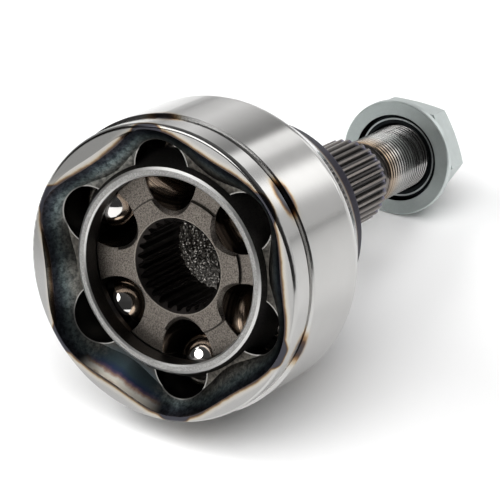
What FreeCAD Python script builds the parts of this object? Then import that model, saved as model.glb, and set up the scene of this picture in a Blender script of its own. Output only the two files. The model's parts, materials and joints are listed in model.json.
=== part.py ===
import FreeCAD, Part
import math
import os

import Sketcher
from FreeCAD import Vector

# Outboard constant-velocity joint of the six-ball fixed type, in millimetres.
#
# Every piece is drawn about the joint's own axis: X runs from the open mouth of the bell (negative)
# to the end of the threaded stub (positive), and the origin is the joint centre, the point that the
# cage and the inner race turn about.  The first ball groove lies towards +Z.  Each piece is then
# rolled about X and tipped about Y, so that the joint lies on a bench the way it comes to rest:
# on the back edge of the bell and on the rim of the nut's washer, with +Z up.

SIZES = [
    # balls and grooves
    ("ball_diameter", 15.875, "5/8 inch bearing ball"),
    ("ball_count", 6, "balls, grooves and windows"),
    ("track_radius", 29.5, "radius of the arc that a ball's centre follows along a groove"),
    ("track_offset", 4.5, "distance of each groove arc's centre from the joint centre"),
    ("groove_play", 0.2, "play between a ball and the groove wall"),
    ("groove_sweep", 100, "angle of groove cut in the bell, in degrees"),
    ("race_groove_sweep", 124, "angle of groove cut across the inner race, in degrees"),
    # inner race
    ("race_land_drop", 0.7, "ball pitch radius less the inner race's sphere radius"),
    ("race_half_width", 10.9, "joint centre to the inner race's faces"),
    ("race_edge", 0.5, "chamfer on the inner race's outer edges"),
    ("hub_collar_radius", 19.0, "raised collar round the bore, on the mouth side"),
    ("hub_collar_step", 0.8, "height of the raised collar"),
    ("drive_tip_radius", 11.9, "tips of the internal spline teeth"),
    ("drive_tooth_height", 1.0, "depth of the internal spline"),
    ("drive_tooth_count", 27, "internal spline teeth"),
    ("drive_lead_in", 1.6, "chamfer at the ends of the splined bore"),
    # cage
    ("race_gap", 0.15, "play between the cage's bore sphere and the inner race"),
    ("cage_wall", 4.4, "cage wall thickness"),
    ("cage_gap", 0.15, "play between the cage and the bell's bore sphere"),
    ("cage_front", 17.0, "joint centre to the cage's mouth face"),
    ("cage_back", 15.0, "joint centre to the cage's back face"),
    ("cage_face_width", 2.2, "width of the flat ring on the cage's mouth face"),
    ("cage_edge", 0.45, "chamfer on the cage's edges"),
    ("window_play", 0.2, "play between a ball and the window's long sides"),
    ("window_side_room", 2.1, "room beside a ball along the window"),
    ("window_corner", 2.5, "corner radius of the windows"),
    # bell
    ("bell_wall", 4.35, "bell wall behind the grooves"),
    ("rim_depth", 20.6, "joint centre to the rim's face"),
    ("rim_edge", 1.2, "rounded edge of the rim"),
    ("mouth_depth", 15.0, "joint centre to the front edge of the bore sphere"),
    ("boot_band_drop", 0.8, "how far the boot band lies below the bell's outside"),
    ("boot_groove_place", 12.6, "joint centre to the boot groove"),
    ("boot_groove_width", 1.7, "width of the boot groove at the surface"),
    ("boot_groove_depth", 0.9, "depth of the boot groove below the boot band"),
    ("boot_groove_slope", 0.4, "axial run of the groove's slanted sides"),
    ("funnel_land_radius", 36.8, "rim edge of the lobed funnel between the grooves"),
    ("funnel_lobe_height", 2.8, "how far the funnel's lobes reach out past that"),
    ("funnel_floor_land_radius", 30.1, "inner edge of the funnel between the grooves"),
    ("funnel_floor_lobe_height", 5.0, "how far the inner edge's lobes reach out past that"),
    ("body_back", 12.0, "joint centre to the back corner of the bell's cylinder"),
    ("body_back_round", 6.0, "rounding of that corner"),
    ("cone_end", 28.1, "joint centre to the end of the turned cone"),
    ("cone_end_radius", 33.8, "radius of the turned cone there"),
    ("neck_step", 0.6, "step down to the forged neck"),
    ("seat_depth", 39.5, "joint centre to the hub seat"),
    ("seat_radius", 28.6, "outer radius of the hub seat's face"),
    ("seat_chamfer", 0.8, "chamfer round the hub seat"),
    ("cavity_depth", 26.0, "joint centre to the edge of the bell's floor"),
    ("cavity_dish", 4.0, "depth of the dished floor"),
    # stub
    ("spline_flank", 30, "slope of the spline teeth's sides, in degrees"),
    ("cutter_run", 0.6, "how far the spline cuts run past the teeth's tips"),
    ("spline_radius", 12.9, "tips of the stub's spline teeth"),
    ("spline_tooth_height", 1.1, "depth of the stub's spline"),
    ("spline_tooth_count", 33, "stub spline teeth"),
    ("spline_length", 48.2, "hub seat to the end of the spline"),
    ("spline_runout", 3.0, "plain length between the hub seat and the teeth"),
    ("spline_chamfer", 1.1, "chamfer at the spline's end"),
    ("stub_root", 1.3, "fillet between the hub seat and the stub"),
    ("relief_radius", 8.9, "thread relief groove"),
    ("relief_length", 6.5, "length of the thread relief groove"),
    ("thread_radius", 9.513, "M20 x 1.5 thread, as a plain cylinder at its pitch diameter"),
    ("thread_length", 42.1, "relief groove to the stub's end"),
    ("thread_chamfer", 0.6, "chamfer at both ends of the thread"),
    ("centre_hole_radius", 3.0, "turning centre in the stub's end"),
    ("centre_hole_depth", 2.6, "depth of the turning centre"),
    # hub nut and its washer
    ("nut_stand", 23.5, "relief groove's end to the washer's clamping face"),
    ("washer_radius", 18.0, "washer rim"),
    ("washer_edge", 0.4, "chamfer on the washer's clamping face"),
    ("washer_rim_width", 2.2, "width of the washer's rim"),
    ("washer_thickness", 4.7, "clamping face to the washer's back"),
    ("washer_back_radius", 15.8, "end of the bevel behind the rim"),
    ("washer_recess_mouth", 13.6, "radius of the washer's recess at the clamping face"),
    ("washer_recess_radius", 12.9, "radius of the washer's recess at its floor"),
    ("nut_collar_radius", 11.6, "nut collar that the washer turns on"),
    ("nut_collar_play", 0.1, "play between the collar and the washer's bore"),
    ("nut_lip_radius", 12.4, "rolled lip that keeps the washer on the nut"),
    ("nut_lip_width", 0.9, "width of the rolled lip"),
    ("nut_lip_inset", 1.3, "how far the lip lies behind the clamping face"),
    ("washer_end_play", 0.15, "end play of the washer on the nut"),
    ("across_flats", 30.0, "hexagon, flat to flat"),
    ("hex_height", 9.1, "height of the hexagon"),
    ("hex_chamfer", 30, "slope of the chamfer round the nut's end face, in degrees"),
    ("hex_end_radius", 14.6, "radius of the nut's end face"),
    ("nut_thread_play", 0.05, "play between the nut's bore and the stub's thread"),
    ("nut_lead_in", 1.2, "chamfer at the ends of the nut's thread"),
    ("overrun", 1.0, "how far a cut runs past the metal"),
    # how it lies
    ("groove_clocking", -13.0, "roll of the joint as it lies, in degrees"),
]

WORKED_OUT = [
    ("ball_radius", "ball_diameter / 2"),
    ("groove_radius", "ball_radius + groove_play"),
    ("pitch_radius", "sqrt(track_radius ^ 2 - track_offset ^ 2)"),
    ("race_sphere", "pitch_radius - race_land_drop"),
    ("cage_bore_sphere", "race_sphere + race_gap"),
    ("cage_sphere", "cage_bore_sphere + cage_wall"),
    ("bell_sphere", "cage_sphere + cage_gap"),
    # inner race
    ("race_edge_x", "race_half_width - race_edge"),
    ("race_edge_radius", "sqrt(race_sphere ^ 2 - race_edge_x ^ 2)"),
    ("race_face_radius", "race_edge_radius - race_edge"),
    ("hub_collar_face", "race_half_width + hub_collar_step"),
    ("drive_root_radius", "drive_tip_radius + drive_tooth_height"),
    ("drive_mouth_radius", "drive_tip_radius + drive_lead_in"),
    ("drive_front", "hub_collar_face - drive_lead_in"),
    ("drive_back", "race_half_width - drive_lead_in"),
    ("drive_cut_length", "2 * (hub_collar_face + overrun)"),
    ("drive_gap_middle", "pi * (drive_tip_radius + drive_root_radius) / (4 * drive_tooth_count)"),
    ("drive_gap_root", "drive_gap_middle - drive_tooth_height / 2 * tan(spline_flank)"),
    ("drive_gap_open", "drive_gap_middle + (drive_tooth_height / 2 + cutter_run) * tan(spline_flank)"),
    ("drive_clear_radius", "drive_tip_radius - cutter_run"),
    # cage
    ("cage_front_edge", "cage_front - cage_edge"),
    ("cage_front_edge_radius", "sqrt(cage_sphere ^ 2 - cage_front_edge ^ 2)"),
    ("cage_ring_outer", "sqrt(cage_sphere ^ 2 - cage_front ^ 2) - cage_edge"),
    ("cage_mouth_radius", "sqrt(cage_sphere ^ 2 - cage_front ^ 2) - cage_face_width"),
    ("cage_ring_inner", "cage_mouth_radius + cage_edge"),
    ("cage_mouth_end", "sqrt(cage_bore_sphere ^ 2 - cage_mouth_radius ^ 2)"),
    ("cage_back_edge", "cage_back - cage_edge"),
    ("cage_back_edge_radius", "sqrt(cage_sphere ^ 2 - cage_back_edge ^ 2)"),
    ("cage_back_outer", "sqrt(cage_sphere ^ 2 - cage_back ^ 2) - cage_edge"),
    ("cage_back_inner", "sqrt(cage_bore_sphere ^ 2 - cage_back ^ 2)"),
    ("window_half_width", "ball_radius + window_play"),
    ("window_half_length", "ball_radius + window_side_room"),
    ("window_side_end", "window_half_length - window_corner"),
    ("window_end_side", "window_half_width - window_corner"),
    ("window_reach", "cage_sphere + overrun"),
    # bell
    ("body_radius", "track_radius + groove_radius + bell_wall"),
    ("boot_band_radius", "body_radius - boot_band_drop"),
    ("mouth_radius", "sqrt(bell_sphere ^ 2 - mouth_depth ^ 2)"),
    ("rim_flat_radius", "boot_band_radius - rim_edge"),
    ("rim_edge_end", "rim_depth - rim_edge"),
    ("boot_groove_front", "boot_groove_place + boot_groove_width / 2"),
    ("boot_groove_back", "boot_groove_place - boot_groove_width / 2"),
    ("boot_groove_floor_front", "boot_groove_front - boot_groove_slope"),
    ("boot_groove_floor_back", "boot_groove_back + boot_groove_slope"),
    ("boot_groove_radius", "boot_band_radius - boot_groove_depth"),
    ("cone_angle", "atan((body_radius - cone_end_radius) / (cone_end - body_back))"),
    ("back_round_run", "body_back_round * tan(cone_angle / 2)"),
    ("back_round_start", "body_back - back_round_run"),
    ("back_round_end", "body_back + back_round_run * cos(cone_angle)"),
    ("back_round_end_radius", "body_radius - back_round_run * sin(cone_angle)"),
    ("neck_radius", "cone_end_radius - neck_step"),
    ("seat_edge", "seat_depth - seat_chamfer"),
    ("seat_edge_radius", "seat_radius + seat_chamfer"),
    ("cavity_floor", "cavity_depth + cavity_dish"),
    ("cavity_edge_radius", "sqrt(bell_sphere ^ 2 - cavity_depth ^ 2)"),
    # stub
    ("stub_root_radius", "spline_radius + stub_root"),
    ("stub_root_end", "seat_depth + stub_root"),
    ("spline_end", "seat_depth + spline_length"),
    ("spline_chamfer_start", "spline_end - spline_chamfer"),
    ("spline_end_radius", "spline_radius - spline_chamfer"),
    ("spline_root_radius", "spline_radius - spline_tooth_height"),
    ("spline_cut_length", "spline_length - spline_runout"),
    ("spline_gap_middle", "pi * (spline_radius + spline_root_radius) / (4 * spline_tooth_count)"),
    ("spline_gap_root", "spline_gap_middle - spline_tooth_height / 2 * tan(spline_flank)"),
    ("spline_gap_open", "spline_gap_middle + (spline_tooth_height / 2 + cutter_run) * tan(spline_flank)"),
    ("spline_clear_radius", "spline_radius + cutter_run"),
    ("relief_end", "spline_end + relief_length"),
    ("thread_start", "relief_end + thread_chamfer"),
    ("stub_end", "relief_end + thread_length"),
    ("thread_end", "stub_end - thread_chamfer"),
    ("thread_end_radius", "thread_radius - thread_chamfer"),
    ("centre_hole_tip", "stub_end - centre_hole_depth"),
    # nut and washer
    ("washer_face", "relief_end + nut_stand"),
    ("washer_face_edge", "washer_face + washer_edge"),
    ("washer_face_radius", "washer_radius - washer_edge"),
    ("washer_rim_end", "washer_face + washer_rim_width"),
    ("washer_back", "washer_face + washer_thickness"),
    ("washer_bore", "nut_collar_radius + nut_collar_play"),
    ("nut_lip_front", "washer_face + nut_lip_inset"),
    ("nut_lip_back", "nut_lip_front + nut_lip_width"),
    ("washer_recess_floor", "nut_lip_back + washer_end_play"),
    ("hex_start", "washer_back + washer_end_play"),
    ("hex_end", "hex_start + hex_height"),
    ("hex_half", "across_flats / 2"),
    ("hex_corner", "across_flats / sqrt(3)"),
    ("hex_side_half", "hex_corner / 2"),
    ("hex_chamfer_start", "hex_end - (hex_corner - hex_end_radius) * tan(hex_chamfer)"),
    ("nut_bore", "thread_radius + nut_thread_play"),
    ("nut_mouth_radius", "nut_bore + nut_lead_in"),
    ("nut_mouth_end", "nut_lip_front + nut_lead_in"),
    ("nut_exit_start", "hex_end - nut_lead_in"),
    ("hex_clear_radius", "hex_corner + overrun"),
    # the joint lies on the rounded back corner of the bell and on the washer's rim or the nut
    ("rest_height", "body_radius - body_back_round"),
    ("rest_to_washer", "sqrt((washer_rim_end - back_round_start) ^ 2 + (rest_height - washer_radius) ^ 2)"),
    ("rest_to_nut", "sqrt((hex_end - back_round_start) ^ 2 + (rest_height - hex_half) ^ 2)"),
    (
        "tilt_on_washer",
        "atan((rest_height - washer_radius) / (washer_rim_end - back_round_start))"
        " + asin(body_back_round / rest_to_washer)",
    ),
    (
        "tilt_on_nut",
        "atan((rest_height - hex_half) / (hex_end - back_round_start))"
        " + asin(body_back_round / rest_to_nut)",
    ),
    ("tilt", "min(tilt_on_washer; tilt_on_nut)"),
]

LOBE_STEPS = 8


def make_sheet(doc):
    """The sheet of sizes: the ones that are set, then the ones that are worked out from them."""
    sheet = doc.addObject("Spreadsheet::Sheet", "Sizes")
    rows = [(name, str(value), note) for name, value, note in SIZES]
    rows += [(name, "=" + formula, "worked out") for name, formula in WORKED_OUT]
    for row, (name, content, note) in enumerate(rows, start=1):
        sheet.set(f"A{row}", name)
        sheet.set(f"B{row}", content)
        sheet.set(f"C{row}", note)
        sheet.setAlias(f"B{row}", name)
    doc.recompute()
    return sheet


def value_of(sheet, cell):
    """The number in a named cell, or its negative for a name with a minus sign before it."""
    content = sheet.get(cell.lstrip("-"))
    number = float(getattr(content, "Value", content))
    return -number if cell.startswith("-") else number


def bound(cell):
    """The expression that reads a named cell of the sheet, with its sign."""
    sign = "-" if cell.startswith("-") else ""
    return f"{sign}Sizes.{cell.lstrip('-')}"


def origin_plane(body, role):
    return next(item for item in body.Origin.OriginFeatures if item.Role == role)


def new_body(doc, label):
    body = doc.addObject("PartDesign::Body", label)
    body.Label = label
    return body


def new_sketch(body, name, role, offset=None):
    """A sketch on one of the body's own origin planes, moved along its normal by a named cell."""
    sketch = body.newObject("Sketcher::SketchObject", name)
    sketch.AttachmentSupport = [(origin_plane(body, role), "")]
    sketch.MapMode = "FlatFace"
    if offset:
        sketch.setExpression("AttachmentOffset.Base.z", bound(offset))
    return sketch


def constrain(sketch, cell, *constraint):
    """Adds a constraint and ties its value to a named cell."""
    index = sketch.addConstraint(Sketcher.Constraint(*constraint))
    sketch.setExpression(f"Constraints[{index}]", bound(cell))


def arc_between(start, end, radius, bulge):
    """The short arc from start to end that bulges to the left (1) or right (-1) of that way."""
    chord = end - start
    normal = Vector(-chord.y, chord.x, 0).normalize() * bulge
    height = math.sqrt(radius**2 - (chord.Length / 2) ** 2)
    centre = (start + end) * 0.5 - normal * height
    angles = [math.atan2((p - centre).y, (p - centre).x) for p in (start, end)]
    anticlockwise = bulge < 0
    if not anticlockwise:
        angles.reverse()
    if angles[1] < angles[0]:
        angles[1] += 2 * math.pi
    circle = Part.Circle(centre, Vector(0, 0, 1), radius)
    return Part.ArcOfCircle(circle, *angles), anticlockwise


def draw_outline(sketch, sheet, corners):
    """Draws a closed outline through corners, each (x cell, y cell) or (x cell, y cell, radius cell, bulge).

    A radius makes the side to the next corner an arc.  A y cell of None puts the corner on the axis.
    """
    places = [
        Vector(value_of(sheet, corner[0]), value_of(sheet, corner[1]) if corner[1] else 0.0, 0)
        for corner in corners
    ]
    sides = []
    for index, corner in enumerate(corners):
        start, end = places[index], places[(index + 1) % len(places)]
        if len(corner) == 2:
            sides.append((sketch.addGeometry(Part.LineSegment(start, end)), 1, 2))
            continue
        arc, anticlockwise = arc_between(start, end, value_of(sheet, corner[2]), corner[3])
        ends = (1, 2) if anticlockwise else (2, 1)
        sides.append((sketch.addGeometry(arc), *ends))
    for index, corner in enumerate(corners):
        side, first, _ = sides[index]
        before, _, last = sides[index - 1]
        sketch.addConstraint(Sketcher.Constraint("Coincident", before, last, side, first))
        constrain(sketch, corner[0], "DistanceX", -1, 1, side, first, places[index].x)
        if corner[1]:
            constrain(sketch, corner[1], "DistanceY", -1, 1, side, first, places[index].y)
        else:
            sketch.addConstraint(Sketcher.Constraint("PointOnObject", side, first, -1))
        if len(corner) > 2:
            constrain(sketch, corner[2], "Radius", side, value_of(sheet, corner[2]))


def turned(body, sheet, corners):
    """Turns an outline, drawn with X along the axis and the radius up, into a solid."""
    sketch = new_sketch(body, body.Label + "_outline", "XZ_Plane")
    draw_outline(sketch, sheet, corners)
    feature = body.newObject("PartDesign::Revolution", body.Label + "_turned")
    feature.Profile = sketch
    feature.ReferenceAxis = (sketch, ["H_Axis"])
    feature.Angle = 360
    return feature


def round_pattern(body, feature, count_cell):
    """Repeats a cut evenly about the joint's axis."""
    pattern = body.newObject("PartDesign::PolarPattern", feature.Label + "_pattern")
    pattern.Originals = [feature]
    pattern.Axis = (origin_plane(body, "X_Axis"), [""])
    pattern.Angle = 360
    pattern.setExpression("Occurrences", bound(count_cell))
    body.Tip = pattern
    return pattern


def cut_ball_grooves(body, sheet, centre, sweep):
    """Cuts the curved ball grooves: a round section swung about the groove's own centre."""
    sketch = new_sketch(body, body.Label + "_groove_section", "YZ_Plane", centre)
    radius = value_of(sheet, "groove_radius")
    middle = Vector(0, value_of(sheet, "track_radius"), 0)
    section = sketch.addGeometry(Part.Circle(middle, Vector(0, 0, 1), radius))
    sketch.addConstraint(Sketcher.Constraint("PointOnObject", section, 3, -2))
    constrain(sketch, "track_radius", "DistanceY", -1, 1, section, 3, middle.y)
    constrain(sketch, "groove_radius", "Radius", section, radius)
    groove = body.newObject("PartDesign::Groove", body.Label + "_groove")
    groove.Profile = sketch
    groove.ReferenceAxis = (sketch, ["H_Axis"])
    groove.Midplane = True
    groove.setExpression("Angle", bound(sweep))
    return round_pattern(body, groove, "ball_count")


def cut_spline(body, sheet, gap_corners, count, offset, length, midplane=False):
    """Cuts one gap between spline teeth along the axis and repeats it for every tooth."""
    sketch = new_sketch(body, body.Label + "_tooth_gap", "YZ_Plane", offset)
    draw_outline(sketch, sheet, gap_corners)
    gap = body.newObject("PartDesign::Pocket", body.Label + "_gap")
    gap.Profile = sketch
    gap.Type = "Length"
    gap.Midplane = midplane
    gap.setExpression("Length", bound(length))
    return round_pattern(body, gap, count)


def draw_lobes(sketch, sheet, land_cell, lobe_cell):
    """Draws a smooth closed line that swells out at every ball groove, one curve to a groove."""
    count = int(value_of(sheet, "ball_count"))
    land = value_of(sheet, land_cell)
    swell = value_of(sheet, lobe_cell) / 2
    for groove in range(count):
        middle = 2 * math.pi * groove / count
        turns = [
            middle + math.pi / count * (2 * step / LOBE_STEPS - 1) for step in range(LOBE_STEPS + 1)
        ]
        points = []
        for turn in turns:
            radius = land + swell * (1 + math.cos(count * turn))
            points.append(Vector(radius * math.sin(turn), radius * math.cos(turn), 0))
        ends = [Vector(math.cos(turn), -math.sin(turn), 0) for turn in (turns[0], turns[-1])]
        curve = Part.BSplineCurve()
        curve.interpolate(Points=points, InitialTangent=ends[0], FinalTangent=ends[1])
        sketch.addGeometry(curve)


def make_outer_race(doc, sheet):
    """The bell with its ball grooves and lobed mouth, forged in one with the splined stub."""
    body = new_body(doc, "outer_race")
    turned(body, sheet, [
        ("-rim_depth", "mouth_radius"),
        ("-rim_depth", "rim_flat_radius", "rim_edge", 1),
        ("-rim_edge_end", "boot_band_radius"),
        ("-boot_groove_front", "boot_band_radius"),
        ("-boot_groove_floor_front", "boot_groove_radius"),
        ("-boot_groove_floor_back", "boot_groove_radius"),
        ("-boot_groove_back", "body_radius"),
        ("back_round_start", "body_radius", "body_back_round", 1),
        ("back_round_end", "back_round_end_radius"),
        ("cone_end", "cone_end_radius"),
        ("cone_end", "neck_radius"),
        ("seat_edge", "seat_edge_radius"),
        ("seat_depth", "seat_radius"),
        ("seat_depth", "stub_root_radius", "stub_root", -1),
        ("stub_root_end", "spline_radius"),
        ("spline_chamfer_start", "spline_radius"),
        ("spline_end", "spline_end_radius"),
        ("spline_end", "relief_radius"),
        ("relief_end", "relief_radius"),
        ("thread_start", "thread_radius"),
        ("thread_end", "thread_radius"),
        ("stub_end", "thread_end_radius"),
        ("stub_end", "centre_hole_radius"),
        ("centre_hole_tip", None),
        ("cavity_floor", None),
        ("cavity_depth", "cavity_edge_radius", "bell_sphere", -1),
        ("-mouth_depth", "mouth_radius"),
    ])
    cut_ball_grooves(body, sheet, "-track_offset", "groove_sweep")
    rim = new_sketch(body, "funnel_rim", "YZ_Plane", "-rim_depth")
    draw_lobes(rim, sheet, "funnel_land_radius", "funnel_lobe_height")
    floor = new_sketch(body, "funnel_floor", "YZ_Plane", "-mouth_depth")
    draw_lobes(floor, sheet, "funnel_floor_land_radius", "funnel_floor_lobe_height")
    funnel = body.newObject("PartDesign::SubtractiveLoft", "lobed_funnel")
    funnel.Profile = rim
    funnel.Sections = [floor]
    body.Tip = funnel
    gap_corners = [
        ("-spline_gap_root", "spline_root_radius"),
        ("spline_gap_root", "spline_root_radius"),
        ("spline_gap_open", "spline_clear_radius"),
        ("-spline_gap_open", "spline_clear_radius"),
    ]
    cut_spline(body, sheet, gap_corners, "spline_tooth_count", "spline_end", "spline_cut_length")
    return body


def make_ball_cage(doc, sheet):
    """The cage: a spherical ring with a window for each ball."""
    body = new_body(doc, "ball_cage")
    turned(body, sheet, [
        ("-cage_front", "cage_ring_inner"),
        ("-cage_front", "cage_ring_outer"),
        ("-cage_front_edge", "cage_front_edge_radius", "cage_sphere", 1),
        ("cage_back_edge", "cage_back_edge_radius"),
        ("cage_back", "cage_back_outer"),
        ("cage_back", "cage_back_inner", "cage_bore_sphere", -1),
        ("-cage_mouth_end", "cage_mouth_radius"),
        ("-cage_front_edge", "cage_mouth_radius"),
    ])
    sketch = new_sketch(body, "window_outline", "XY_Plane")
    draw_outline(sketch, sheet, [
        ("-window_end_side", "-window_half_length"),
        ("window_end_side", "-window_half_length", "window_corner", -1),
        ("window_half_width", "-window_side_end"),
        ("window_half_width", "window_side_end", "window_corner", -1),
        ("window_end_side", "window_half_length"),
        ("-window_end_side", "window_half_length", "window_corner", -1),
        ("-window_half_width", "window_side_end"),
        ("-window_half_width", "-window_side_end", "window_corner", -1),
    ])
    window = body.newObject("PartDesign::Pocket", "window")
    window.Profile = sketch
    window.Type = "Length"
    window.Reversed = True
    window.setExpression("Length", bound("window_reach"))
    round_pattern(body, window, "ball_count")
    return body


def make_inner_race(doc, sheet):
    """The inner race: ball grooves outside, a splined bore for the drive shaft inside."""
    body = new_body(doc, "inner_race")
    turned(body, sheet, [
        ("-hub_collar_face", "drive_mouth_radius"),
        ("-hub_collar_face", "hub_collar_radius"),
        ("-race_half_width", "hub_collar_radius"),
        ("-race_half_width", "race_face_radius"),
        ("-race_edge_x", "race_edge_radius", "race_sphere", 1),
        ("race_edge_x", "race_edge_radius"),
        ("race_half_width", "race_face_radius"),
        ("race_half_width", "drive_mouth_radius"),
        ("drive_back", "drive_tip_radius"),
        ("-drive_front", "drive_tip_radius"),
    ])
    cut_ball_grooves(body, sheet, "track_offset", "race_groove_sweep")
    gap_corners = [
        ("-drive_gap_open", "drive_clear_radius"),
        ("drive_gap_open", "drive_clear_radius"),
        ("drive_gap_root", "drive_root_radius"),
        ("-drive_gap_root", "drive_root_radius"),
    ]
    cut_spline(body, sheet, gap_corners, "drive_tooth_count", None, "drive_cut_length", midplane=True)
    return body


def make_ball(doc, number):
    """A steel ball on the pitch circle, in the middle of its groove and of its window."""
    ball = doc.addObject("Part::Sphere", f"ball_{number + 1}")
    ball.Label = f"ball_{number + 1}"
    ball.setExpression("Radius", bound("ball_radius"))
    roll = f"Sizes.groove_clocking + 360 * {number} / Sizes.ball_count"
    lay_down(ball, roll, reach="Sizes.pitch_radius")
    return ball


def make_nut_washer(doc, sheet):
    """The washer that turns freely on the nut's collar: bevelled behind its rim."""
    body = new_body(doc, "nut_washer")
    turned(body, sheet, [
        ("washer_face", "washer_recess_mouth"),
        ("washer_face", "washer_face_radius"),
        ("washer_face_edge", "washer_radius"),
        ("washer_rim_end", "washer_radius"),
        ("washer_back", "washer_back_radius"),
        ("washer_back", "washer_bore"),
        ("washer_recess_floor", "washer_bore"),
        ("washer_recess_floor", "washer_recess_radius"),
    ])
    return body


def make_hub_nut(doc, sheet):
    """The hub nut: a turned blank with a collar and rolled lip, milled to a hexagon."""
    body = new_body(doc, "hub_nut")
    turned(body, sheet, [
        ("nut_lip_front", "nut_mouth_radius"),
        ("nut_lip_front", "nut_lip_radius"),
        ("nut_lip_back", "nut_lip_radius"),
        ("nut_lip_back", "nut_collar_radius"),
        ("hex_start", "nut_collar_radius"),
        ("hex_start", "hex_corner"),
        ("hex_chamfer_start", "hex_corner"),
        ("hex_end", "hex_end_radius"),
        ("hex_end", "nut_mouth_radius"),
        ("nut_exit_start", "nut_bore"),
        ("nut_mouth_end", "nut_bore"),
    ])
    sketch = new_sketch(body, "hexagon", "YZ_Plane", "hex_end")
    draw_outline(sketch, sheet, [
        ("hex_corner", None),
        ("hex_side_half", "hex_half"),
        ("-hex_side_half", "hex_half"),
        ("-hex_corner", None),
        ("-hex_side_half", "-hex_half"),
        ("hex_side_half", "-hex_half"),
    ])
    radius = value_of(sheet, "hex_clear_radius")
    circle = sketch.addGeometry(Part.Circle(Vector(), Vector(0, 0, 1), radius))
    sketch.addConstraint(Sketcher.Constraint("Coincident", circle, 3, -1, 1))
    constrain(sketch, "hex_clear_radius", "Radius", circle, radius)
    flats = body.newObject("PartDesign::Pocket", "flats")
    flats.Profile = sketch
    flats.Type = "Length"
    flats.setExpression("Length", bound("hex_height"))
    body.Tip = flats
    return body


def lay_down(part, roll, reach="0"):
    """Rolls a piece about the joint's axis and tips it, so that the joint lies at rest.

    reach moves it out from the axis first, along the way that the roll turns.
    """
    turn = f"rotation(0; Sizes.tilt; {roll})"
    part.setExpression("Placement", f"placement({turn} * vector(0; 0; {reach}); {turn})")


def check(doc, parts):
    """Stops if an object failed to build or a piece isn't a sound solid."""
    for item in doc.Objects:
        if {"Invalid", "Error"} & set(item.State):
            raise RuntimeError(f"{item.Label} didn't build: {item.State}")
    for part in parts:
        shape = part.Shape
        if shape.isNull() or not shape.isValid() or len(shape.Solids) != 1:
            raise RuntimeError(f"{part.Label} isn't one valid solid")


def main():
    doc = FreeCAD.newDocument("cv_joint")
    sheet = make_sheet(doc)
    joint = [make_outer_race(doc, sheet), make_ball_cage(doc, sheet), make_inner_race(doc, sheet)]
    fastening = [make_nut_washer(doc, sheet), make_hub_nut(doc, sheet)]
    for part in joint:
        lay_down(part, "Sizes.groove_clocking")
    for part in fastening:
        lay_down(part, "0")
    balls = [make_ball(doc, number) for number in range(int(value_of(sheet, "ball_count")))]
    parts = joint + balls + fastening
    doc.recompute()
    check(doc, parts)
    os.makedirs("parts", exist_ok=True)
    for part in parts:
        part.Shape.exportStep(f"parts/{part.Label}.step")
        print(f"{part.Label:12s} {part.Shape.Volume / 1000:8.2f} cm3")
    print(f"tilt {value_of(sheet, 'tilt'):.3f} degrees")


main()
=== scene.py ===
import json
import math

import bmesh
import bpy
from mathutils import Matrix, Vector


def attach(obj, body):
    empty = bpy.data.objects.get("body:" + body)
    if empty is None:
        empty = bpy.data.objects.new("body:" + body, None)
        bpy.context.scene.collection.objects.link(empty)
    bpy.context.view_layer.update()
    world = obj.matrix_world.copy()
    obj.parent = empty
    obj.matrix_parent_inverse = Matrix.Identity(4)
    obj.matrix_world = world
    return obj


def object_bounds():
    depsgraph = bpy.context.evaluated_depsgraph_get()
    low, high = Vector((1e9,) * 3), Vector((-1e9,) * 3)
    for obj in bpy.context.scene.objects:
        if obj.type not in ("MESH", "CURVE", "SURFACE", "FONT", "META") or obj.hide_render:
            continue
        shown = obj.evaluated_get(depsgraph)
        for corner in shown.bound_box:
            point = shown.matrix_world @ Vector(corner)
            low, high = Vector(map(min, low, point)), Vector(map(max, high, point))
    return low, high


# A constant-velocity joint lying on a pale studio floor.  Sizes are in millimetres along the joint's
# own axis, from the joint centre: negative towards the open mouth, positive towards the nut.

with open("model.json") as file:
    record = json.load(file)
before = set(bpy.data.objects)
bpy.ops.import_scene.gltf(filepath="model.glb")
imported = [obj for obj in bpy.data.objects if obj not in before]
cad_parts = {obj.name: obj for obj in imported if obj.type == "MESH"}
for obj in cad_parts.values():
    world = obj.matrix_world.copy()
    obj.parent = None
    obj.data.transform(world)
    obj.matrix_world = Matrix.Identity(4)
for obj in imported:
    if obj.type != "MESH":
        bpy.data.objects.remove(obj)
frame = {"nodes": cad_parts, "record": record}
record = frame["record"]
cad_low, cad_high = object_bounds()

MM = 0.001
mounts = {mount["name"]: mount for mount in record["mounts"]}
joints = {joint["name"]: joint for joint in record["behaviour"]["joints"]}
axis = -Vector(mounts["drive_spline"]["axis"]).normalized()
to_groove = Vector(joints["ball_1_shift"]["axis"]).normalized()
sideways = to_groove.cross(axis)

# the rim, the boot band and the cone, outside the bell
RIM_FACE = -20.6
RIM_FLAT_DEPTH = 0.2
RIM_ROUND_END = -19.4
RIM_ROUND_RADIUS = 39.9875
BAND_INSIDE = 38.0
CORNER_END = 12.6
CONE_START = 22.0

# the lobed funnel in the mouth, the ball grooves and the floor of the bell
GROOVES = 6
FUNNEL_LAND = 36.8
FUNNEL_LOBE = 2.8
FUNNEL_END = -14.5
GROOVE_CENTRE = 4.5
GROOVE_REACH = 37.9
TRACK_RADIUS = 29.5
GROOVE_RADIUS = 8.1375
GROOVE_SKIN = 0.03
# where the painted highlight round each groove's mouth lies, out from its centre line
MOUTH_HIGHLIGHT = (GROOVE_RADIUS + 0.05, GROOVE_RADIUS + 0.25)
BELL_FLOOR_EDGE = 12.0
BELL_FLOOR = 20.0

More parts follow.
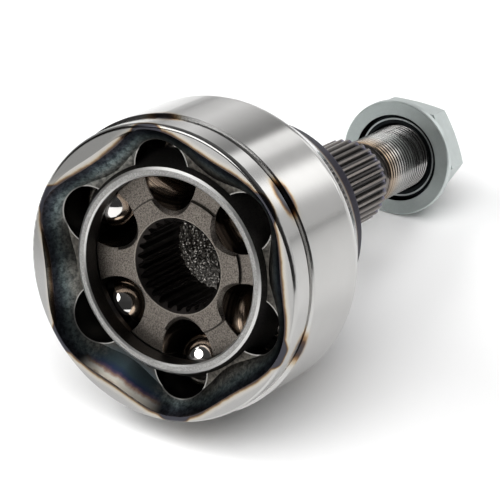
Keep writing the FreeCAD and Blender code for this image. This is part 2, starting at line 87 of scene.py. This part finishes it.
# the neck, the hub seat, the spline and the thread
NECK_INSIDE = 21.5
SEAT = 39.5
SEAT_SKIN = 0.05
STUB_OUTSIDE = 30.0
SPLINE_TIP = 12.9
SPLINE_DEPTH = 0.9
SPLINE_RUN_IN = 2.0
SPLINE_CHAMFER = 1.2
SPLINE_END = 87.7
THREAD_CHAMFER = 0.4
THREAD_START = 94.8
THREAD_TINT_END = 103.0
THREAD_END = 135.7
THREAD_ROOT = 9.513
THREAD_CREST = 10.0
THREAD_PITCH = 1.5
THREAD_FLANK = 0.66
THREAD_FLAT = 0.33
THREAD_SUNK = 0.06

# the cage and the inner race
CAGE_FACE = -17.0
CAGE_CHAMFER = 0.46
RACE_SPHERE = 28.45
RACE_EDGE = 10.6
RACE_CORE = 14.0
COLLAR_RADIUS = 19.0
COLLAR_FOOT_SHADE = 0.4
BORE_EDGE = 13.45
BORE_EDGE_HIGHLIGHT = 0.15

# the nut and its washer
RECESS_RADIUS = 13.55
RECESS_END = 121.0
BEVEL_START = 117.8
LIP_FACE_END = 119.3
LIP_INNER = 11.9
LIP_OUTER = 12.25

# how fine the unevenness of the bell is, in patches to a metre, and how far it moves an edge
CLOUDS = 90.0
CLOUD_REACH = 1.2
MOTTLE = 420.0
MOTTLE_REACH = 0.6
CAST_GRAIN = 950.0
# the grains of the blasted floor that glow as painted glints are this fine
GLINT_GRAIN = 2200.0
FINE_GRAIN = 2600.0

# heat tint: how far it reaches in millimetres, and where round the bell it differs, in degrees from
# the first groove; one land also has a painted highlight, and one is darker on the rim's flat
TINT_REACH = (-0.4, 3.6)
TINT_FADE = (0.9, 2.6)
TINT_AT_GROOVES = 1.9
SCALE_REACH = (-0.5, 8.0)
MARK_MIDDLE = -13.2
MARK_HALF_LENGTH = 3.2
MARK_HALF_ANGLE = 9.5
COOL_LAND = 32.0
COOL_LAND_SHIFT = 2.0
HALF_COOL_LAND = 94.0
HALF_COOL = 0.6
DARKENED_LAND = 40.0
STRAW_AND_GLARE_LAND = 152.0

# colours from the start to the end of each stretch
# heat tint of the rim; its pale cream stops make a painted highlight band just beyond the gold
RIM_TINTS_AND_HIGHLIGHT = [
    (0.0, (0.05, 0.05, 0.06)),
    (0.10, (0.055, 0.045, 0.045)),
    (0.18, (0.11, 0.07, 0.045)),
    (0.25, (0.27, 0.195, 0.12)),
    (0.32, (0.41, 0.375, 0.315)),
    (0.46, (0.42, 0.405, 0.38)),
    (0.70, (0.33, 0.327, 0.32)),
]
MARK_TINTS = [
    (0.0, (0.10, 0.105, 0.12)),
    (0.40, (0.045, 0.045, 0.05)),
    (0.58, (0.07, 0.045, 0.035)),
    (0.72, (0.24, 0.15, 0.08)),
    (0.86, (0.40, 0.33, 0.24)),
    (1.0, (0.45, 0.42, 0.37)),
]
MOUTH_SCALE = [
    (0.0, (0.045, 0.035, 0.032)),
    (0.08, (0.014, 0.014, 0.018)),
    (0.22, (0.026, 0.032, 0.04)),
    (0.36, (0.08, 0.102, 0.108)),
    (0.58, (0.115, 0.117, 0.112)),
    (0.80, (0.065, 0.061, 0.056)),
    (1.0, (0.042, 0.039, 0.036)),
]
# temper colours on one land of the funnel, with a painted highlight in their near-white stops
STRAW_TINTS_AND_GLARE = [
    (0.0, (0.30, 0.18, 0.09)),
    (0.07, (0.95, 0.88, 0.76)),
    (0.17, (1.0, 0.95, 0.86)),
    (0.24, (0.52, 0.34, 0.25)),
    (0.30, (0.15, 0.10, 0.17)),
    (0.37, (0.04, 0.06, 0.12)),
    (0.50, (0.055, 0.085, 0.10)),
    (1.0, (0.042, 0.039, 0.036)),
]
NECK_TINTS = [
    (0.0, (0.45, 0.445, 0.435)),
    (0.20, (0.45, 0.41, 0.34)),
    (0.31, (0.36, 0.25, 0.13)),
    (0.36, (0.10, 0.065, 0.05)),
    (0.60, (0.035, 0.03, 0.035)),
    (0.92, (0.045, 0.042, 0.047)),
    (0.97, (0.13, 0.13, 0.19)),
    (1.0, (0.11, 0.11, 0.15)),
]
STUB_TINTS = [
    (0.0, (0.07, 0.066, 0.07)),
    (0.715, (0.07, 0.062, 0.058)),
    (0.735, (0.13, 0.125, 0.17)),
    (0.757, (0.14, 0.13, 0.18)),
    (0.762, (0.015, 0.015, 0.015)),
    (0.855, (0.02, 0.02, 0.02)),
    (0.868, (0.42, 0.38, 0.36)),
    (0.885, (0.34, 0.25, 0.17)),
    (0.92, (0.40, 0.33, 0.26)),
    (1.0, (0.50, 0.49, 0.48)),
]


# the sockets of the mix node: two colours and their mix, two vectors and theirs
MIX_COLOURS = (6, 7)
MIXED_COLOUR = 2
MIX_VECTORS = (4, 5)
MIXED_VECTOR = 1


def rgba(colour):
    """A colour with its alpha, from three numbers or from one shade of grey."""
    if isinstance(colour, tuple):
        return (*colour, 1.0)
    return (colour, colour, colour, 1.0)


class Nodes:
    """Builds a node tree.  Every method returns the output to feed the next one."""

    def __init__(self, tree):
        self.tree = tree

    def node(self, kind, **settings):
        made = self.tree.nodes.new(kind)
        for name, value in settings.items():
            setattr(made, name, value)
        return made

    def feed(self, socket, value):
        if isinstance(value, bpy.types.NodeSocket):
            self.tree.links.new(value, socket)
        else:
            socket.default_value = value

    def maths(self, operation, *values):
        made = self.node("ShaderNodeMath", operation=operation)
        for socket, value in zip(made.inputs, values):
            self.feed(socket, value)
        return made.outputs[0]

    def plus(self, first, *others):
        for other in others:
            first = self.maths("ADD", first, other)
        return first

    def minus(self, first, second):
        return self.maths("SUBTRACT", first, second)

    def times(self, first, *others):
        for other in others:
            first = self.maths("MULTIPLY", first, other)
        return first

    def over(self, first, second):
        return self.maths("DIVIDE", first, second)

    def below(self, value, limit):
        return self.maths("LESS_THAN", value, limit)

    def above(self, value, limit):
        return self.maths("GREATER_THAN", value, limit)

    def hypotenuse(self, first, second):
        return self.maths("SQRT", self.plus(self.times(first, first), self.times(second, second)))

    def either_way(self, amount, reach):
        """Turns zero to one into minus to plus reach."""
        return self.maths("MULTIPLY_ADD", amount, 2.0 * reach, -reach)

    def span(self, amount, low, high, start=0.0, end=1.0, smooth=True):
        """Goes from start to end while amount goes from low to high."""
        made = self.node("ShaderNodeMapRange", interpolation_type="SMOOTHSTEP" if smooth else "LINEAR")
        for socket, value in zip(made.inputs, (amount, low, high, start, end)):
            self.feed(socket, value)
        return made.outputs[0]

    def fade(self, amount, low, high):
        """One up to low, falling to zero at high."""
        return self.span(amount, low, high, 1.0, 0.0)

    def band(self, amount, low, high, soft):
        """One between low and high, fading to nothing over soft at both ends."""
        return self.times(self.span(amount, low - soft, low), self.fade(amount, high, high + soft))

    def near_angle(self, angle, middle, full, edge):
        """One within full degrees of the middle, fading to nothing at edge degrees from it."""
        closeness = self.maths("COSINE", self.minus(angle, math.radians(middle)))
        return self.span(closeness, math.cos(math.radians(edge)), math.cos(math.radians(full)))

    def ramp(self, amount, stops):
        made = self.node("ShaderNodeValToRGB")
        points = made.color_ramp.elements
        while len(points) < len(stops):
            points.new(1.0)
        for point, (place, colour) in zip(points, stops):
            point.position = place
            point.color = rgba(colour)
        self.feed(made.inputs[0], amount)
        return made.outputs[0]

    def stretch_ramp(self, place, low, high, stops):
        """Colours laid out evenly between two places."""
        return self.ramp(self.span(place, low, high, smooth=False), stops)

    def mix(self, amount, first, second, blend="MIX"):
        made = self.node("ShaderNodeMix", data_type="RGBA", blend_type=blend, clamp_factor=True)
        self.feed(made.inputs[0], amount)
        for index, value in zip(MIX_COLOURS, (first, second)):
            colour = value if isinstance(value, bpy.types.NodeSocket) else rgba(value)
            self.feed(made.inputs[index], colour)
        return made.outputs[MIXED_COLOUR]

    def shaded(self, colour, shade):
        """A colour times a shade."""
        return self.mix(1.0, colour, shade, "MULTIPLY")


class Material(Nodes):
    """A material whose nodes know where a point lies on the joint."""

    def __init__(self, name, **constants):
        self.material = bpy.data.materials.new(name)
        self.material.use_nodes = True
        super().__init__(self.material.node_tree)
        self.surface = self.tree.nodes["Principled BSDF"]
        for socket, value in constants.items():
            self.surface.inputs[socket].default_value = value
        self.point = self.node("ShaderNodeTexCoord").outputs["Object"]

    def set(self, socket, value):
        self.feed(self.surface.inputs[socket], value)

    def along(self, direction):
        """Distance from the joint centre along a direction, in millimetres."""
        made = self.node("ShaderNodeVectorMath", operation="DOT_PRODUCT")
        self.feed(made.inputs[0], self.point)
        made.inputs[1].default_value = tuple(direction / MM)
        return made.outputs["Value"]

    def joint_place(self):
        """Distance along the axis, distance from it, and the angle round it from the first groove."""
        up = self.along(to_groove)
        side = self.along(sideways)
        return self.along(axis), self.hypotenuse(up, side), self.maths("ARCTAN2", side, up)

    def groove_place(self, angle):
        """A wave, one at each groove and minus one between, and the angle to the nearest groove."""
        wave = self.maths("COSINE", self.times(angle, float(GROOVES)))
        return wave, self.over(self.maths("ARCCOSINE", wave), float(GROOVES))

    def vector(self, operation, first, second=(0.0, 0.0, 0.0)):
        """One step of vector arithmetic; second is a plain number where the vector is scaled."""
        made = self.node("ShaderNodeVectorMath", operation=operation)
        self.feed(made.inputs[0], first)
        self.feed(made.inputs["Scale" if operation == "SCALE" else 1], second)
        return made.outputs[0]

    def rounded_edge(self, along, radius, centre_along, centre_radius):
        """The true normal of a rounded edge where a point lies on it, else the mesh's own."""
        on_axis = self.vector("SCALE", tuple(axis * MM), along)
        outward = self.vector("NORMALIZE", self.vector("SUBTRACT", self.point, on_axis))
        back = self.minus(along, centre_along)
        out = self.minus(radius, centre_radius)
        back_part = self.vector("SCALE", tuple(axis), back)
        out_part = self.vector("SCALE", outward, out)
        normal = self.vector("NORMALIZE", self.vector("ADD", back_part, out_part))
        mesh_normal = self.node("ShaderNodeNewGeometry").outputs["Normal"]
        made = self.node("ShaderNodeMix", data_type="VECTOR")
        self.feed(made.inputs[0], self.times(self.below(back, 0.0), self.above(out, 0.0)))
        for index, value in zip(MIX_VECTORS, (mesh_normal, normal)):
            self.feed(made.inputs[index], value)
        return made.outputs[MIXED_VECTOR]

    def noise(self, scale, detail=3.0, roughness=0.55):
        """Cloudy noise; scale is in patches to a metre."""
        made = self.node("ShaderNodeTexNoise")
        self.feed(made.inputs["Vector"], self.point)
        made.inputs["Scale"].default_value = scale
        made.inputs["Detail"].default_value = detail
        made.inputs["Roughness"].default_value = roughness
        return made.outputs[0]

    def lines(self, place, spacing):
        """Fine uneven lines across one coordinate, about spacing apart."""
        made = self.node("ShaderNodeTexNoise", noise_dimensions="1D")
        self.feed(made.inputs["W"], place)
        made.inputs["Scale"].default_value = 1.0 / spacing
        return made.outputs[0]

    def bump(self, height, distance, after=None):
        """Raises the surface by up to distance millimetres, on top of another normal."""
        made = self.node("ShaderNodeBump")
        made.inputs["Strength"].default_value = 1.0
        made.inputs["Distance"].default_value = distance * MM
        self.feed(made.inputs["Height"], height)
        if after is not None:
            self.feed(made.inputs["Normal"], after)
        return made.outputs[0]


class BellSurface(Material):
    """The places and the unevenness that all the finishes of the bell and its stub share."""

    def __init__(self, name, **constants):
        super().__init__(name, **constants)
        self.place, self.radius, angle = self.joint_place()
        self.lobes, self.ring = self.groove_place(angle)
        self.patches = self.noise(CLOUDS, 4.0)
        self.mottle = self.noise(MOTTLE, 4.0, 0.65)
        self.coarse = self.noise(CAST_GRAIN, 4.0, 0.7)
        self.wobble = self.either_way(self.patches, CLOUD_REACH)
        self.ripple = self.either_way(self.mottle, MOTTLE_REACH)
        self.uneven = self.plus(self.wobble, self.ripple)

        # how far a point lies outside the lobed edge of the mouth; two of the lands stayed cooler, so
        # that there the edge of the scale lies further in
        lobed = self.times(self.plus(self.lobes, 1.0), FUNNEL_LOBE / 2)
        outside = self.minus(self.radius, self.plus(lobed, FUNNEL_LAND))
        half_cool = self.near_angle(angle, HALF_COOL_LAND, full=0.0, edge=25.8)
        whole_cool = self.near_angle(angle, COOL_LAND, full=0.0, edge=29.5)
        self.cool = self.plus(self.times(half_cool, HALF_COOL), whole_cool)
        self.outside = self.plus(self.times(self.cool, COOL_LAND_SHIFT), outside)
        self.on_rim_flat = self.below(self.place, RIM_FACE + RIM_FLAT_DEPTH)
        darkened_near = self.near_angle(angle, DARKENED_LAND, full=18.2, edge=56.6)
        self.darkened = self.times(darkened_near, self.on_rim_flat)
        self.straw_and_glare = self.near_angle(angle, STRAW_AND_GLARE_LAND, full=8.1, edge=21.6)

        # inside: the funnel, and everything within reach of the groove arcs' centre
        in_funnel = self.below(self.plus(self.outside, self.times(self.ripple, 0.3)), -0.1)
        in_funnel = self.times(in_funnel, self.below(self.place, FUNNEL_END))
        from_centre = self.hypotenuse(self.plus(self.place, GROOVE_CENTRE), self.radius)
        in_bell = self.maths("MAXIMUM", in_funnel, self.below(from_centre, GROOVE_REACH))
        self.in_bell = self.times(in_bell, self.below(self.outside, 0.0))

        # distance from the centre line of the nearest ball groove
        level = self.times(self.radius, self.maths("COSINE", self.ring))
        wide = self.times(self.radius, self.maths("SINE", self.ring))
        arc = self.hypotenuse(self.plus(self.place, GROOVE_CENTRE), level)
        self.from_track = self.hypotenuse(self.minus(arc, TRACK_RADIUS), wide)
        self.groove = self.times(self.in_bell, self.below(self.from_track, GROOVE_RADIUS + GROOVE_SKIN))

        self.floor = self.times(self.in_bell, self.span(self.place, BELL_FLOOR_EDGE, BELL_FLOOR))
        behind = self.times(self.above(self.place, CONE_START), self.above(self.radius, NECK_INSIDE))
        self.behind = self.times(behind, self.minus(1.0, self.in_bell))
        past_seat = self.above(self.place, SEAT - SEAT_SKIN)
        self.on_stub = self.times(past_seat, self.below(self.radius, STUB_OUTSIDE))
        self.on_thread = self.above(self.place, THREAD_START - THREAD_CHAMFER)


def rim_and_outside(s):
    """Bare turned steel, a little uneven from handling, with heat tint along the edge of the mouth
    and a painted highlight band just beyond the tint's gold.
    """
    bare = s.mix(s.patches, (0.42, 0.415, 0.405), (0.49, 0.485, 0.475))
    bare = s.mix(s.times(s.on_rim_flat, 0.6), bare, (0.24, 0.238, 0.233))
    # the rim's flat, and the tint on it, are darker round one land
    bare = s.mix(s.darkened, bare, (0.165, 0.163, 0.158))

    # the tint runs out over the rim's rounding, except where the land stayed cooler
    round_edge = s.times(s.minus(s.place, RIM_FACE), s.fade(s.cool, 0.0, 0.3))
    run = s.plus(s.outside, round_edge, s.times(s.uneven, 0.45))
    tint = s.minus(run, s.times(s.span(s.lobes, 0.70, 1.0), TINT_AT_GROOVES))
    # the heat tint, whose pale cream stops are a painted highlight band
    tinted = s.stretch_ramp(tint, *TINT_REACH, RIM_TINTS_AND_HIGHLIGHT)
    tinted = s.mix(s.darkened, tinted, s.shaded(tinted, 0.55))
    return s.mix(s.fade(tint, *TINT_FADE), bare, tinted)


def groove_marks(s, colour):
    """Oval heat marks on the boot band, one behind each groove."""
    away = s.over(s.ring, math.radians(MARK_HALF_ANGLE))
    across = s.over(s.minus(s.place, MARK_MIDDLE), MARK_HALF_LENGTH)
    spot = s.plus(s.hypotenuse(away, across), s.times(s.wobble, 0.16), s.times(s.ripple, 0.25))
    marked = s.times(s.above(s.radius, BAND_INSIDE), s.fade(spot, 0.8, 1.3))
    marked = s.times(marked, s.below(s.place, CORNER_END))
    return s.mix(marked, colour, s.ramp(spot, MARK_TINTS))


def bell_inside(s, colour):
    """Blue-black scale with temper colours at its edge, polished grooves, a blasted floor;
    painted highlights on one land, round each groove's mouth and on the floor's brightest grains.
    """
    depth = s.minus(s.uneven, s.outside)
    scale = s.stretch_ramp(depth, *SCALE_REACH, MOUTH_SCALE)
    grains = s.mix(s.span(s.coarse, 0.3, 0.7), 0.45, (1.80, 1.76, 1.68))
    clouds = s.mix(s.span(s.mottle, 0.3, 0.7), 0.8, (1.2, 1.2, 1.18))
    scale = s.shaded(s.shaded(scale, grains), clouds)
    # one land of the funnel: temper colours and a painted highlight, near white, by the edge
    scale = s.mix(s.straw_and_glare, scale, s.stretch_ramp(depth, *SCALE_REACH, STRAW_TINTS_AND_GLARE))
    colour = s.mix(s.in_bell, colour, scale)

    # painted highlight: a thin bright line round each groove's mouth
    colour = s.mix(s.groove, colour, s.mix(s.patches, (0.13, 0.125, 0.12), (0.24, 0.23, 0.215)))
    mouth = s.band(s.from_track, *MOUTH_HIGHLIGHT, 0.12)
    colour = s.mix(s.times(s.in_bell, mouth, 0.7), colour, (0.42, 0.41, 0.39))

    # the blasted floor: grains differ at random, and the brightest are painted near white as painted
    # glints
    blasted = s.mix(s.span(s.coarse, 0.42, 0.62), (0.30, 0.28, 0.26), (1.0, 0.96, 0.90))
    return s.mix(s.floor, colour, blasted)


def neck_and_stub(s, colour):
    """Tempered band, dark neck, dark spline with painted highlight on the crests and painted shade
    between them, relief groove, bright thread with painted shade in its roots.
    """
    back = s.plus(s.place, s.times(s.wobble, 0.8))
    colour = s.mix(s.behind, colour, s.stretch_ramp(back, CONE_START, SEAT, NECK_TINTS))

    stub = s.stretch_ramp(s.place, SEAT, THREAD_TINT_END, STUB_TINTS)
    teeth = s.band(s.place, SEAT + SPLINE_RUN_IN, SPLINE_END - SPLINE_CHAMFER, 0.4)
    half_way = SPLINE_TIP - SPLINE_DEPTH / 2
    # painted highlight on the spline's crests
    tip_highlight = s.times(s.span(s.radius, half_way, SPLINE_TIP), teeth, 0.7)
    stub = s.mix(tip_highlight, stub, s.mix(s.mottle, (0.12, 0.105, 0.095), (0.31, 0.28, 0.255)))
    # painted shade between the spline's teeth
    gap_shade = s.times(s.span(s.radius, half_way, SPLINE_TIP - SPLINE_DEPTH), teeth, 0.7)
    stub = s.mix(gap_shade, stub, (0.02, 0.018, 0.017))
    # painted shade in the roots of the thread
    valley_shade = s.times(s.span(s.radius, THREAD_CREST - 0.02, THREAD_ROOT + 0.08), s.on_thread, 0.6)
    stub = s.mix(valley_shade, stub, (0.06, 0.056, 0.054))
    return s.mix(s.on_stub, colour, stub)


def turned_steel():
    """The bell and stub: turned and heat-tinted outside, forged neck, rolled spline."""
    s = BellSurface("turned_steel", Metallic=1.0)
    colour = neck_and_stub(s, bell_inside(s, groove_marks(s, rim_and_outside(s))))
    s.set("Base Color", colour)
    coated = s.maths("MAXIMUM", s.in_bell, s.behind)
    s.set("Specular Tint", s.mix(coated, 1.0, (0.45, 0.45, 0.48)))
    s.set("Metallic", s.minus(1.0, s.times(s.floor, 0.85)))

    rough = s.mix(s.in_bell, 0.105, 0.31)
    rough = s.mix(s.groove, rough, 0.22)
    rough = s.mix(s.floor, rough, 0.6)
    rough = s.mix(s.behind, rough, 0.36)
    rough = s.mix(s.on_stub, rough, 0.30)
    rough = s.mix(s.times(s.on_stub, s.on_thread), rough, 0.16)
    rough = s.mix(s.times(s.noise(FINE_GRAIN, 2.0), 0.12), rough, 0.5)
    s.set("Roughness", rough)

    # painted glints: single grains of the blasted floor glow faintly, standing in for their sparkle
    painted_glints = s.times(s.floor, s.span(s.noise(GLINT_GRAIN, 2.0, 0.6), 0.60, 0.68))
    s.set("Emission Color", rgba((0.9, 0.85, 0.78)))
    s.set("Emission Strength", s.times(painted_glints, 0.7))

    # turning marks run round the joint, on the rim's flat as rings; scale and forging are rough
    on_face = s.below(s.place, RIM_FACE + 0.15)
    marks = s.mix(on_face, s.lines(s.place, 0.7), s.lines(s.radius, 0.7))
    true_edge = s.rounded_edge(s.place, s.radius, RIM_ROUND_END, RIM_ROUND_RADIUS)
    cut = s.bump(marks, 0.004, after=true_edge)
    s.set("Normal", s.bump(s.shaded(s.coarse, s.mix(coated, 0.04, 1.0)), 0.05, after=cut))
    return s.material


def ground_steel():
    """The cage: ground faces at its ends over a dark, grainy sphere,
    with a painted highlight on the chamfers.
    """
    s = Material("ground_steel", Metallic=1.0)
    place, radius, _ = s.joint_place()
    grain = s.noise(2300.0, 3.0, 0.7)
    ends = s.below(place, CAGE_FACE + CAGE_CHAMFER)
    ground = s.mix(s.noise(150.0, 4.0), (0.21, 0.207, 0.20), (0.31, 0.305, 0.295))
    ground = s.mix(s.span(grain, 0.40, 0.7), ground, (0.42, 0.415, 0.405))
    # painted highlight: the chamfers next to the end faces are painted pale
    ground = s.mix(s.above(place, CAGE_FACE + 0.02), ground, (0.62, 0.615, 0.60))
    skin = s.mix(grain, (0.02, 0.019, 0.018), (0.13, 0.12, 0.115))
    s.set("Base Color", s.mix(ends, skin, ground))
    s.set("Roughness", s.mix(ends, 0.45, 0.36))
    s.set("Normal", s.bump(grain, 0.03, after=s.bump(s.lines(radius, 0.25), 0.01)))
    return s.material


def phosphated_steel():
    """The inner race: matt brown-grey, with polished ball grooves and a dark bore."""
    s = Material("phosphated_steel", Metallic=1.0)
    place, radius, angle = s.joint_place()
    _, ring = s.groove_place(angle)
    grain = s.noise(FINE_GRAIN, 3.0, 0.7)
    skin = s.mix(s.span(grain, 0.35, 0.65), (0.07, 0.06, 0.052), (0.29, 0.26, 0.225))
    skin = s.mix(s.times(s.noise(260.0, 4.0), 0.5), skin, (0.12, 0.105, 0.095))

    # the grooves, with the passes of the grinding wheel along them
    flat = s.above(s.maths("ABSOLUTE", place), RACE_EDGE)
    under_sphere = s.below(s.hypotenuse(place, radius), RACE_SPHERE - 0.1)
    ground = s.times(s.minus(1.0, flat), under_sphere, s.above(radius, RACE_CORE))
    level = s.times(radius, s.maths("COSINE", ring))
    turn = s.maths("ARCTAN2", s.minus(place, GROOVE_CENTRE), level)
    passes = s.span(s.lines(s.times(turn, TRACK_RADIUS), 0.9), 0.35, 0.65)
    skin = s.mix(ground, skin, s.mix(passes, (0.11, 0.085, 0.068), (0.34, 0.27, 0.21)))

    # painted shade at the foot of the collar, the dark bore, and a painted highlight on the bore's edge
    foot = s.times(s.band(radius, COLLAR_RADIUS, COLLAR_RADIUS + COLLAR_FOOT_SHADE, 0.1), flat, 0.75)
    skin = s.mix(foot, skin, (0.02, 0.018, 0.016))
    skin = s.mix(s.span(radius, BORE_EDGE - 0.2, BORE_EDGE), (0.03, 0.026, 0.024), skin)
    edge = s.times(s.band(radius, BORE_EDGE, BORE_EDGE + BORE_EDGE_HIGHLIGHT, 0.1), 0.5)
    s.set("Base Color", s.mix(edge, skin, (0.45, 0.41, 0.36)))
    s.set("Roughness", s.mix(ground, s.mix(grain, 0.36, 0.52), 0.16))
    s.set("Normal", s.bump(s.mix(ground, grain, 0.5), 0.05))
    return s.material


def ball_steel():
    """Bearing balls: mirror finish with the faintest film of oil."""
    s = Material("ball_steel", Metallic=1.0)
    film = s.noise(140.0, 3.0)
    s.set("Base Color", s.mix(film, (0.70, 0.68, 0.65), (0.82, 0.80, 0.78)))
    s.set("Roughness", s.mix(film, 0.03, 0.07))
    return s.material


def zinc_plate(name, pale):
    """Satin zinc plating, blue-green and a little cloudy, with painted shade next to the thread."""
    s = Material(name, Metallic=0.85)
    place, radius, _ = s.joint_place()
    cloud = s.noise(220.0, 5.0, 0.65)
    grain = s.noise(2400.0, 3.0, 0.7)
    shadowed = tuple(shade * 0.72 for shade in pale)
    sparkling = tuple(shade * 1.3 for shade in pale)
    plate = s.mix(cloud, shadowed, pale)
    plate = s.mix(s.times(s.span(grain, 0.5, 0.75), 0.25), plate, sparkling)
    bevel = s.mix(cloud, (0.46, 0.50, 0.49), (0.66, 0.71, 0.70))
    plate = s.mix(s.above(place, BEVEL_START), plate, bevel)
    # painted shade in the recess next to the thread, all but a pale ring on the nut's lip
    recess = s.times(s.below(radius, RECESS_RADIUS), s.below(place, RECESS_END))
    lip = s.times(s.band(radius, LIP_INNER, LIP_OUTER, 0.12), s.below(place, LIP_FACE_END))
    recess_shade_and_lip = s.mix(lip, (0.012, 0.014, 0.015), (0.40, 0.43, 0.43))
    s.set("Base Color", s.mix(recess, plate, recess_shade_and_lip))
    s.set("Metallic", s.mix(recess, 0.85, 1.0))
    s.set("Roughness", s.mix(cloud, 0.34, 0.44))
    s.set("Normal", s.bump(grain, 0.012))
    return s.material


def dress(node, material):
    for slot in frame["nodes"][node].material_slots:
        slot.material = material


bell_finish = turned_steel()
ball_finish = ball_steel()
dress("outer_race", bell_finish)
dress("ball_cage", ground_steel())
dress("inner_race", phosphated_steel())
for number in range(GROOVES):
    dress(f"ball_{number + 1}", ball_finish)
dress("nut_washer", zinc_plate("washer_zinc", (0.44, 0.485, 0.475)))
dress("hub_nut", zinc_plate("nut_zinc", (0.72, 0.78, 0.76)))


def joint_point(along, radius, angle):
    """A point in the object's frame from its place along, out from and round the joint's axis."""
    out = to_groove * math.cos(angle) + sideways * math.sin(angle)
    return (axis * along + out * radius) * MM


def thread_piece():
    """The M20 x 1.5 thread: one V-shaped ridge wound round the stub, fading out at both ends."""
    steps_a_turn = 72
    steps_of_fade = 0.8 * steps_a_turn
    tail_depth = 0.02
    foot = THREAD_ROOT - THREAD_SUNK
    steps = int((THREAD_END - THREAD_START) / THREAD_PITCH * steps_a_turn)
    mesh = bmesh.new()
    rows = []
    for step in range(steps + 1):
        fade = min(1.0, step / steps_of_fade, (steps - step) / steps_of_fade)
        crest = THREAD_ROOT + (THREAD_CREST - THREAD_ROOT) * fade - tail_depth * (1.0 - fade)
        middle = THREAD_START + THREAD_PITCH * step / steps_a_turn
        angle = 2.0 * math.pi * step / steps_a_turn
        profile = (
            (-THREAD_FLANK, foot),
            (-THREAD_FLAT, crest),
            (THREAD_FLAT, crest),
            (THREAD_FLANK, foot),
        )
        rows.append([mesh.verts.new(joint_point(middle + dx, r, angle)) for dx, r in profile])
    for near, far in zip(rows, rows[1:]):
        for index in range(3):
            mesh.faces.new((near[index], near[index + 1], far[index + 1], far[index]))
        mesh.faces.new((near[3], near[0], far[0], far[3]))
    for face in mesh.faces:
        face.smooth = True
    for near, far in zip(rows, rows[1:]):
        for start, end in zip(near, far):
            mesh.edges.get((start, end)).smooth = False
    mesh.faces.new(rows[0])
    mesh.faces.new(rows[-1][::-1])
    bmesh.ops.recalc_face_normals(mesh, faces=mesh.faces)
    data = bpy.data.meshes.new("stub_thread")
    mesh.to_mesh(data)
    mesh.free()
    data.materials.append(bell_finish)
    piece = bpy.data.objects.new("stub_thread", data)
    bpy.context.scene.collection.objects.link(piece)
    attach(piece, "outer_race")


def floor_piece():
    """A wide pale studio floor, where the lowest point of the joint lies."""
    half = 6.0
    corners = [(-half, -half, 0), (half, -half, 0), (half, half, 0), (-half, half, 0)]
    data = bpy.data.meshes.new("floor")
    data.from_pydata(corners, [], [(0, 1, 2, 3)])
    s = Material("studio_floor", Roughness=0.6)
    s.set("Base Color", rgba(0.93))
    data.materials.append(s.material)
    piece = bpy.data.objects.new("floor", data)
    piece.location = (0, 0, cad_low[2])
    bpy.context.scene.collection.objects.link(piece)


thread_piece()
floor_piece()

centre = (cad_low + cad_high) / 2


def direction(turn, rise):
    """The way to a point of the studio: turn is measured from +X towards +Y, both in degrees."""
    turn = math.radians(turn)
    rise = math.radians(rise)
    level = math.cos(rise)
    return Vector((level * math.cos(turn), level * math.sin(turn), math.sin(rise)))


def facing(turn, rise):
    """The rotation of a lamp or camera that stands that way and looks back."""
    return direction(turn, rise).to_track_quat("Z", "Y").to_euler()


def softbox(name, stand, size, brightness, seen=True):
    """An oval soft light aimed at the joint, from its stand: turn, rise and distance.  brightness is
    how bright its face looks, with the floor at about 1.  seen: whether it shows in reflections."""
    turn, rise, distance = stand
    width, height = size
    data = bpy.data.lights.new(name, "AREA")
    data.shape = "ELLIPSE"
    data.size = width
    data.size_y = height
    data.energy = brightness * width * height * math.pi
    lamp = bpy.data.objects.new(name, data)
    lamp.location = centre + direction(turn, rise) * distance
    lamp.rotation_euler = facing(turn, rise)
    lamp.visible_camera = False
    lamp.visible_glossy = seen
    bpy.context.scene.collection.objects.link(lamp)


softbox("key_light", (154, 35, 1.7), (1.15, 1.0), brightness=2.7)
softbox("top_light", (110, 45, 1.7), (1.0, 0.55), brightness=5.2, seen=False)
softbox("top_panel", (110, 45, 1.75), (1.0, 0.55), brightness=1.2)
softbox("fill_light", (-150, 68, 2.6), (3.0, 3.0), brightness=2.7, seen=False)

# how bright the studio's wall is, by the way one looks, in degrees from +X towards +Y
WALL = [
    (-110, 0.04), (-75, 0.9), (-25, 0.8), (-21, 2.0), (-15, 2.2), (-11, 0.8), (-6, 0.8),
    (-3, 1.5), (3, 1.75), (6, 0.35), (12, 0.5), (25, 1.15), (32, 0.7), (70, 0.6), (110, 0.05),
]
WALL_TOP = (0.42, 0.62)
SKY_WAY = (-0.7, 0.3)
SKY_SHADES = (0.05, 0.16)


def studio_world():
    """A room with a pale wall, bright panels in it and a dark ceiling."""
    world = bpy.data.worlds.new("studio")
    world.use_nodes = True
    s = Nodes(world.node_tree)
    way = s.node("ShaderNodeSeparateXYZ")
    s.feed(way.inputs[0], s.node("ShaderNodeTexCoord").outputs["Generated"])
    turn = s.maths("ARCTAN2", way.outputs["Y"], way.outputs["X"])
    wall = s.stretch_ramp(turn, -math.pi, math.pi, [(0.5 + at / 360, shade) for at, shade in WALL])
    sky = s.span(way.outputs["X"], *SKY_WAY, *SKY_SHADES)
    room = s.mix(s.span(way.outputs["Z"], *WALL_TOP), wall, sky)
    s.feed(world.node_tree.nodes["Background"].inputs[0], room)
    bpy.context.scene.world = world


def camera():
    """A long lens, in front of the mouth and above it."""
    data = bpy.data.cameras.new("camera")
    data.lens = 194.04
    data.sensor_width = 36.0
    data.clip_start = 0.05
    data.clip_end = 20.0
    made = bpy.data.objects.new("camera", data)
    made.location = (-0.5311, -0.3289, 0.3814)
    made.rotation_euler = facing(-149.4825, 31.2998)
    bpy.context.scene.collection.objects.link(made)
    bpy.context.scene.camera = made


studio_world()
camera()
bpy.context.scene.view_settings.view_transform = "Standard"
